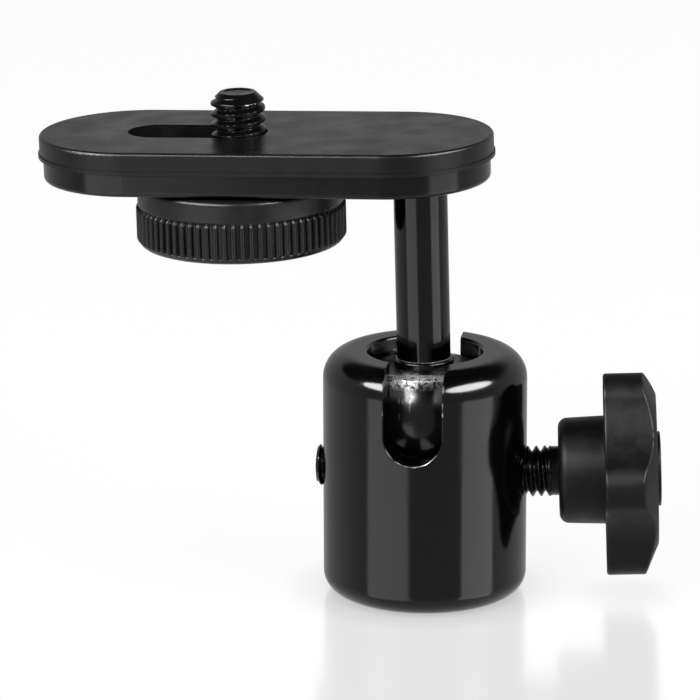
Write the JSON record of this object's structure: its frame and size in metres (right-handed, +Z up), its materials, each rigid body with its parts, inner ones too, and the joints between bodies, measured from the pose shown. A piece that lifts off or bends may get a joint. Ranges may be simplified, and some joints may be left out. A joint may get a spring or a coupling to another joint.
{
  "type": "swivel bracket",
  "caption": "Ball-joint bracket that screws onto a stand: a slotted housing with a star clamp knob holds a rod and a padded plate with a sliding camera screw.",
  "frame": {"origin": "centre of the housing's flat foot, on the axis of the stand thread", "axes": "+Z up along the housing's axis, +X towards the clamp knob and along the plate, swing slots open along Y; the plate reaches out towards -X. At rest the ball and rod lean 1.3 degrees towards -X, and the clamp axis is turned 5.8 degrees from +X towards +Y and rises 1.9 degrees outwards"},
  "size_m": [0.0738, 0.026, 0.0596],
  "materials": {
    "housing_paint": "gloss black enamel",
    "bush_steel": "turned, machined",
    "set_screw_steel": "black oxide",
    "cup_brass": "machined",
    "ball_steel": "black finish, worn bare where it rubs",
    "rod_paint": "gloss black enamel",
    "plate_screw_steel": "black oxide",
    "plate_paint": "satin black enamel",
    "pad_rubber": "matte",
    "washer_nylon": "matte",
    "wheel_plastic": "satin moulded",
    "camera_screw_steel": "black oxide",
    "tip_brass": "machined",
    "clamp_screw_steel": "black oxide",
    "knob_plastic": "satin moulded",
    "cap_plastic": "satin moulded"
  },
  "bodies": {
    "housing": {"housing": "housing_paint", "threaded_bush": "bush_steel", "guide_screw": "set_screw_steel", "pressure_cup": "cup_brass"},
    "ball": {"ball": "ball_steel"},
    "arm": {"rod": "rod_paint", "plate_screw": "plate_screw_steel", "plate": "plate_paint", "pad": "pad_rubber"},
    "slider": {"slide_washer": "washer_nylon"},
    "wheel": {"thumbwheel": "wheel_plastic", "camera_screw": "camera_screw_steel"},
    "tip": {"pressure_tip": "tip_brass"},
    "clamp": {"clamp_screw": "clamp_screw_steel", "star_knob": "knob_plastic", "knob_cap": "cap_plastic"}
  },
  "joints": [
    {"name": "tilt", "type": "hinge", "parent": "housing", "child": "ball", "pos_m": [0, 0, 0.0219], "axis": [1, 0, 0], "range_deg": [-90, 90]},
    {"name": "swivel", "type": "hinge", "parent": "ball", "child": "arm", "pos_m": [0, 0, 0.0219], "axis": [-0.0227, 0, 0.9997], "continuous": true},
    {"name": "screw_slide", "type": "slide", "parent": "arm", "child": "slider", "axis": [-0.9997, 0, -0.0227], "range_m": [0, 0.0097]},
    {"name": "screw_spin", "type": "hinge", "parent": "slider", "child": "wheel", "pos_m": [-0.02173, 0, 0.04501], "axis": [-0.0227, 0, 0.9997], "continuous": true},
    {"name": "clamp_slide", "type": "slide", "parent": "housing", "child": "tip", "axis": [0.9943, 0.101, 0.0332], "range_m": [0, 0.003]},
    {"name": "clamp_turn", "type": "hinge", "parent": "tip", "child": "clamp", "pos_m": [0.01193, 0.00121, 0.01448], "axis": [0.9943, 0.101, 0.0332], "range_deg": [0, 1080]}
  ],
  "couplings": [
    {"joint": "clamp_slide", "follows": "clamp_turn", "m_per_rad": 0.00015915}
  ]
}
